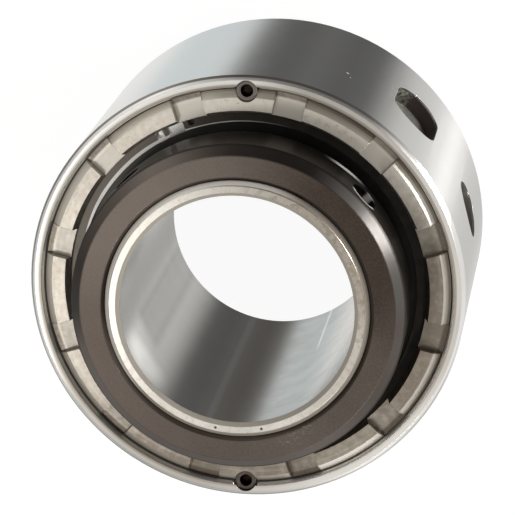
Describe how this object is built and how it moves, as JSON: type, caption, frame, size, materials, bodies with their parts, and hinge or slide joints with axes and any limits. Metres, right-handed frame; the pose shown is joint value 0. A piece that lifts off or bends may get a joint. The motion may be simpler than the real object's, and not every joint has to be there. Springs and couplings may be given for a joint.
{
  "type": "cartridge roller bearing",
  "caption": "Cylindrical cartridge roller bearing with a castellated screw cover, a self-aligning inner ring and a lock collar with set screws.",
  "frame": {"origin": "centre of the ball raceway, on the shaft axis and halfway along the cartridge", "axes": "+Z along the shaft, out of the collar end; +Y at clock angle 0, beside the first lock screw; +X a quarter turn clockwise from it, seen from the collar end"},
  "size_m": [0.165, 0.165, 0.1313],
  "materials": {
    "ground_steel": "ground",
    "cover_steel": "turned, tan oxide",
    "black_oxide": "black oxide, oiled",
    "screw_steel": "black oxide with rust",
    "race_steel": "ground and polished",
    "cage_brass": "machined",
    "case_steel": "dark pressed steel",
    "seal_rubber": "matt"
  },
  "bodies": {
    "cartridge": {"housing": "ground_steel", "castellated_cover": "cover_steel", "front_cup": "race_steel", "rear_cup": "race_steel", "front_seal_case": "case_steel", "front_snap_ring": "black_oxide", "rear_seal_case": "case_steel", "rear_snap_ring": "black_oxide"},
    "seal_lips": {"front_seal_lip": "seal_rubber", "rear_seal_lip": "seal_rubber"},
    "inner_ring": {"inner_ring": "ground_steel", "lock_collar": "black_oxide"},
    "front_cage": {"front_cage": "cage_brass"},
    "rear_cage": {"rear_cage": "cage_brass"},
    "lock_screw_top": {"lock_screw_top": "screw_steel"},
    "lock_screw_bottom": {"lock_screw_bottom": "screw_steel"},
    "collar_screw_left": {"collar_screw_left": "screw_steel"},
    "collar_screw_right": {"collar_screw_right": "screw_steel"},
    "front_roller_1": {"front_roller_1": "race_steel"},
    "front_roller_2": {"front_roller_2": "race_steel"},
    "front_roller_3": {"front_roller_3": "race_steel"},
    "front_roller_4": {"front_roller_4": "race_steel"},
    "front_roller_5": {"front_roller_5": "race_steel"},
    "front_roller_6": {"front_roller_6": "race_steel"},
    "front_roller_7": {"front_roller_7": "race_steel"},
    "front_roller_8": {"front_roller_8": "race_steel"},
    "front_roller_9": {"front_roller_9": "race_steel"},
    "front_roller_10": {"front_roller_10": "race_steel"},
    "front_roller_11": {"front_roller_11": "race_steel"},
    "front_roller_12": {"front_roller_12": "race_steel"},
    "front_roller_13": {"front_roller_13": "race_steel"},
    "front_roller_14": {"front_roller_14": "race_steel"},
    "front_roller_15": {"front_roller_15": "race_steel"},
    "front_roller_16": {"front_roller_16": "race_steel"},
    "front_roller_17": {"front_roller_17": "race_steel"},
    "front_roller_18": {"front_roller_18": "race_steel"},
    "rear_roller_1": {"rear_roller_1": "race_steel"},
    "rear_roller_2": {"rear_roller_2": "race_steel"},
    "rear_roller_3": {"rear_roller_3": "race_steel"},
    "rear_roller_4": {"rear_roller_4": "race_steel"},
    "rear_roller_5": {"rear_roller_5": "race_steel"},
    "rear_roller_6": {"rear_roller_6": "race_steel"},
    "rear_roller_7": {"rear_roller_7": "race_steel"},
    "rear_roller_8": {"rear_roller_8": "race_steel"},
    "rear_roller_9": {"rear_roller_9": "race_steel"},
    "rear_roller_10": {"rear_roller_10": "race_steel"},
    "rear_roller_11": {"rear_roller_11": "race_steel"},
    "rear_roller_12": {"rear_roller_12": "race_steel"},
    "rear_roller_13": {"rear_roller_13": "race_steel"},
    "rear_roller_14": {"rear_roller_14": "race_steel"},
    "rear_roller_15": {"rear_roller_15": "race_steel"},
    "rear_roller_16": {"rear_roller_16": "race_steel"},
    "rear_roller_17": {"rear_roller_17": "race_steel"},
    "rear_roller_18": {"rear_roller_18": "race_steel"}
  },
  "joints": [
    {"name": "shaft_tilt", "type": "hinge", "parent": "cartridge", "child": "seal_lips", "pos_m": [0, 0, 0], "axis": [1, 0, 0], "range_deg": [-1.5, 1.5]},
    {"name": "inner_ring_spin", "type": "hinge", "parent": "seal_lips", "child": "inner_ring", "pos_m": [0, 0, 0], "axis": [0, 0, 1], "continuous": true},
    {"name": "front_cage_spin", "type": "hinge", "parent": "cartridge", "child": "front_cage", "pos_m": [0, 0, 0], "axis": [0, 0, 1], "continuous": true},
    {"name": "rear_cage_spin", "type": "hinge", "parent": "cartridge", "child": "rear_cage", "pos_m": [0, 0, 0], "axis": [0, 0, 1], "continuous": true},
    {"name": "lock_screw_top_travel", "type": "slide", "parent": "cartridge", "child": "lock_screw_top", "axis": [0, 0, 1], "range_m": [0, 0.012]},
    {"name": "lock_screw_bottom_travel", "type": "slide", "parent": "cartridge", "child": "lock_screw_bottom", "axis": [0, 0, 1], "range_m": [0, 0.012]},
    {"name": "collar_screw_left_travel", "type": "slide", "parent": "inner_ring", "child": "collar_screw_left", "axis": [-0.6494, 0.7604, 0], "range_m": [-0.0017, 0.009]},
    {"name": "collar_screw_right_travel", "type": "slide", "parent": "inner_ring", "child": "collar_screw_right", "axis": [0.7604, 0.6494, 0], "range_m": [-0.0017, 0.009]},
    {"name": "front_roller_1_spin", "type": "hinge", "parent": "front_cage", "child": "front_roller_1", "pos_m": [0.05589, 0.02034, 0.01483], "axis": [-0.2273, -0.0827, 0.9703], "continuous": true},
    {"name": "front_roller_2_spin", "type": "hinge", "parent": "front_cage", "child": "front_roller_2", "pos_m": [0.04556, 0.03823, 0.01483], "axis": [-0.1853, -0.1555, 0.9703], "continuous": true},
    {"name": "front_roller_3_spin", "type": "hinge", "parent": "front_cage", "child": "front_roller_3", "pos_m": [0.02974, 0.05151, 0.01483], "axis": [-0.121, -0.2095, 0.9703], "continuous": true},
    {"name": "front_roller_4_spin", "type": "hinge", "parent": "front_cage", "child": "front_roller_4", "pos_m": [0.01033, 0.05857, 0.01483], "axis": [-0.042, -0.2382, 0.9703], "continuous": true},
    {"name": "front_roller_5_spin", "type": "hinge", "parent": "front_cage", "child": "front_roller_5", "pos_m": [-0.01033, 0.05857, 0.01483], "axis": [0.042, -0.2382, 0.9703], "continuous": true},
    {"name": "front_roller_6_spin", "type": "hinge", "parent": "front_cage", "child": "front_roller_6", "pos_m": [-0.02974, 0.05151, 0.01483], "axis": [0.121, -0.2095, 0.9703], "continuous": true},
    {"name": "front_roller_7_spin", "type": "hinge", "parent": "front_cage", "child": "front_roller_7", "pos_m": [-0.04556, 0.03823, 0.01483], "axis": [0.1853, -0.1555, 0.9703], "continuous": true},
    {"name": "front_roller_8_spin", "type": "hinge", "parent": "front_cage", "child": "front_roller_8", "pos_m": [-0.05589, 0.02034, 0.01483], "axis": [0.2273, -0.0827, 0.9703], "continuous": true},
    {"name": "front_roller_9_spin", "type": "hinge", "parent": "front_cage", "child": "front_roller_9", "pos_m": [-0.05947, 0, 0.01483], "axis": [0.2419, 0, 0.9703], "continuous": true},
    {"name": "front_roller_10_spin", "type": "hinge", "parent": "front_cage", "child": "front_roller_10", "pos_m": [-0.05589, -0.02034, 0.01483], "axis": [0.2273, 0.0827, 0.9703], "continuous": true},
    {"name": "front_roller_11_spin", "type": "hinge", "parent": "front_cage", "child": "front_roller_11", "pos_m": [-0.04556, -0.03823, 0.01483], "axis": [0.1853, 0.1555, 0.9703], "continuous": true},
    {"name": "front_roller_12_spin", "type": "hinge", "parent": "front_cage", "child": "front_roller_12", "pos_m": [-0.02974, -0.05151, 0.01483], "axis": [0.121, 0.2095, 0.9703], "continuous": true},
    {"name": "front_roller_13_spin", "type": "hinge", "parent": "front_cage", "child": "front_roller_13", "pos_m": [-0.01033, -0.05857, 0.01483], "axis": [0.042, 0.2382, 0.9703], "continuous": true},
    {"name": "front_roller_14_spin", "type": "hinge", "parent": "front_cage", "child": "front_roller_14", "pos_m": [0.01033, -0.05857, 0.01483], "axis": [-0.042, 0.2382, 0.9703], "continuous": true},
    {"name": "front_roller_15_spin", "type": "hinge", "parent": "front_cage", "child": "front_roller_15", "pos_m": [0.02974, -0.05151, 0.01483], "axis": [-0.121, 0.2095, 0.9703], "continuous": true},
    {"name": "front_roller_16_spin", "type": "hinge", "parent": "front_cage", "child": "front_roller_16", "pos_m": [0.04556, -0.03823, 0.01483], "axis": [-0.1853, 0.1555, 0.9703], "continuous": true},
    {"name": "front_roller_17_spin", "type": "hinge", "parent": "front_cage", "child": "front_roller_17", "pos_m": [0.05589, -0.02034, 0.01483], "axis": [-0.2273, 0.0827, 0.9703], "continuous": true},
    {"name": "front_roller_18_spin", "type": "hinge", "parent": "front_cage", "child": "front_roller_18", "pos_m": [0.05947, 0, 0.01483], "axis": [-0.2419, 0, 0.9703], "continuous": true},
    {"name": "rear_roller_1_spin", "type": "hinge", "parent": "rear_cage", "child": "rear_roller_1", "pos_m": [0.05151, 0.02974, -0.01483], "axis": [0.2095, 0.121, 0.9703], "continuous": true},
    {"name": "rear_roller_2_spin", "type": "hinge", "parent": "rear_cage", "child": "rear_roller_2", "pos_m": [0.03823, 0.04556, -0.01483], "axis": [0.1555, 0.1853, 0.9703], "continuous": true},
    {"name": "rear_roller_3_spin", "type": "hinge", "parent": "rear_cage", "child": "rear_roller_3", "pos_m": [0.02034, 0.05589, -0.01483], "axis": [0.0827, 0.2273, 0.9703], "continuous": true},
    {"name": "rear_roller_4_spin", "type": "hinge", "parent": "rear_cage", "child": "rear_roller_4", "pos_m": [0, 0.05947, -0.01483], "axis": [0, 0.2419, 0.9703], "continuous": true},
    {"name": "rear_roller_5_spin", "type": "hinge", "parent": "rear_cage", "child": "rear_roller_5", "pos_m": [-0.02034, 0.05589, -0.01483], "axis": [-0.0827, 0.2273, 0.9703], "continuous": true},
    {"name": "rear_roller_6_spin", "type": "hinge", "parent": "rear_cage", "child": "rear_roller_6", "pos_m": [-0.03823, 0.04556, -0.01483], "axis": [-0.1555, 0.1853, 0.9703], "continuous": true},
    {"name": "rear_roller_7_spin", "type": "hinge", "parent": "rear_cage", "child": "rear_roller_7", "pos_m": [-0.05151, 0.02974, -0.01483], "axis": [-0.2095, 0.121, 0.9703], "continuous": true},
    {"name": "rear_roller_8_spin", "type": "hinge", "parent": "rear_cage", "child": "rear_roller_8", "pos_m": [-0.05857, 0.01033, -0.01483], "axis": [-0.2382, 0.042, 0.9703], "continuous": true},
    {"name": "rear_roller_9_spin", "type": "hinge", "parent": "rear_cage", "child": "rear_roller_9", "pos_m": [-0.05857, -0.01033, -0.01483], "axis": [-0.2382, -0.042, 0.9703], "continuous": true},
    {"name": "rear_roller_10_spin", "type": "hinge", "parent": "rear_cage", "child": "rear_roller_10", "pos_m": [-0.05151, -0.02974, -0.01483], "axis": [-0.2095, -0.121, 0.9703], "continuous": true},
    {"name": "rear_roller_11_spin", "type": "hinge", "parent": "rear_cage", "child": "rear_roller_11", "pos_m": [-0.03823, -0.04556, -0.01483], "axis": [-0.1555, -0.1853, 0.9703], "continuous": true},
    {"name": "rear_roller_12_spin", "type": "hinge", "parent": "rear_cage", "child": "rear_roller_12", "pos_m": [-0.02034, -0.05589, -0.01483], "axis": [-0.0827, -0.2273, 0.9703], "continuous": true},
    {"name": "rear_roller_13_spin", "type": "hinge", "parent": "rear_cage", "child": "rear_roller_13", "pos_m": [0, -0.05947, -0.01483], "axis": [0, -0.2419, 0.9703], "continuous": true},
    {"name": "rear_roller_14_spin", "type": "hinge", "parent": "rear_cage", "child": "rear_roller_14", "pos_m": [0.02034, -0.05589, -0.01483], "axis": [0.0827, -0.2273, 0.9703], "continuous": true},
    {"name": "rear_roller_15_spin", "type": "hinge", "parent": "rear_cage", "child": "rear_roller_15", "pos_m": [0.03823, -0.04556, -0.01483], "axis": [0.1555, -0.1853, 0.9703], "continuous": true},
    {"name": "rear_roller_16_spin", "type": "hinge", "parent": "rear_cage", "child": "rear_roller_16", "pos_m": [0.05151, -0.02974, -0.01483], "axis": [0.2095, -0.121, 0.9703], "continuous": true},
    {"name": "rear_roller_17_spin", "type": "hinge", "parent": "rear_cage", "child": "rear_roller_17", "pos_m": [0.05857, -0.01033, -0.01483], "axis": [0.2382, -0.042, 0.9703], "continuous": true},
    {"name": "rear_roller_18_spin", "type": "hinge", "parent": "rear_cage", "child": "rear_roller_18", "pos_m": [0.05857, 0.01033, -0.01483], "axis": [0.2382, 0.042, 0.9703], "continuous": true}
  ],
  "couplings": [
    {"joint": "front_cage_spin", "follows": "inner_ring_spin", "ratio": 0.44127},
    {"joint": "rear_cage_spin", "follows": "inner_ring_spin", "ratio": 0.44127},
    {"joint": "front_roller_1_spin", "follows": "inner_ring_spin", "ratio": -4.0732},
    {"joint": "front_roller_2_spin", "follows": "inner_ring_spin", "ratio": -4.0732},
    {"joint": "front_roller_3_spin", "follows": "inner_ring_spin", "ratio": -4.0732},
    {"joint": "front_roller_4_spin", "follows": "inner_ring_spin", "ratio": -4.0732},
    {"joint": "front_roller_5_spin", "follows": "inner_ring_spin", "ratio": -4.0732},
    {"joint": "front_roller_6_spin", "follows": "inner_ring_spin", "ratio": -4.0732},
    {"joint": "front_roller_7_spin", "follows": "inner_ring_spin", "ratio": -4.0732},
    {"joint": "front_roller_8_spin", "follows": "inner_ring_spin", "ratio": -4.0732},
    {"joint": "front_roller_9_spin", "follows": "inner_ring_spin", "ratio": -4.0732},
    {"joint": "front_roller_10_spin", "follows": "inner_ring_spin", "ratio": -4.0732},
    {"joint": "front_roller_11_spin", "follows": "inner_ring_spin", "ratio": -4.0732},
    {"joint": "front_roller_12_spin", "follows": "inner_ring_spin", "ratio": -4.0732},
    {"joint": "front_roller_13_spin", "follows": "inner_ring_spin", "ratio": -4.0732},
    {"joint": "front_roller_14_spin", "follows": "inner_ring_spin", "ratio": -4.0732},
    {"joint": "front_roller_15_spin", "follows": "inner_ring_spin", "ratio": -4.0732},
    {"joint": "front_roller_16_spin", "follows": "inner_ring_spin", "ratio": -4.0732},
    {"joint": "front_roller_17_spin", "follows": "inner_ring_spin", "ratio": -4.0732},
    {"joint": "front_roller_18_spin", "follows": "inner_ring_spin", "ratio": -4.0732},
    {"joint": "rear_roller_1_spin", "follows": "inner_ring_spin", "ratio": -4.0732},
    {"joint": "rear_roller_2_spin", "follows": "inner_ring_spin", "ratio": -4.0732},
    {"joint": "rear_roller_3_spin", "follows": "inner_ring_spin", "ratio": -4.0732},
    {"joint": "rear_roller_4_spin", "follows": "inner_ring_spin", "ratio": -4.0732},
    {"joint": "rear_roller_5_spin", "follows": "inner_ring_spin", "ratio": -4.0732},
    {"joint": "rear_roller_6_spin", "follows": "inner_ring_spin", "ratio": -4.0732},
    {"joint": "rear_roller_7_spin", "follows": "inner_ring_spin", "ratio": -4.0732},
    {"joint": "rear_roller_8_spin", "follows": "inner_ring_spin", "ratio": -4.0732},
    {"joint": "rear_roller_9_spin", "follows": "inner_ring_spin", "ratio": -4.0732},
    {"joint": "rear_roller_10_spin", "follows": "inner_ring_spin", "ratio": -4.0732},
    {"joint": "rear_roller_11_spin", "follows": "inner_ring_spin", "ratio": -4.0732},
    {"joint": "rear_roller_12_spin", "follows": "inner_ring_spin", "ratio": -4.0732},
    {"joint": "rear_roller_13_spin", "follows": "inner_ring_spin", "ratio": -4.0732},
    {"joint": "rear_roller_14_spin", "follows": "inner_ring_spin", "ratio": -4.0732},
    {"joint": "rear_roller_15_spin", "follows": "inner_ring_spin", "ratio": -4.0732},
    {"joint": "rear_roller_16_spin", "follows": "inner_ring_spin", "ratio": -4.0732},
    {"joint": "rear_roller_17_spin", "follows": "inner_ring_spin", "ratio": -4.0732},
    {"joint": "rear_roller_18_spin", "follows": "inner_ring_spin", "ratio": -4.0732}
  ]
}
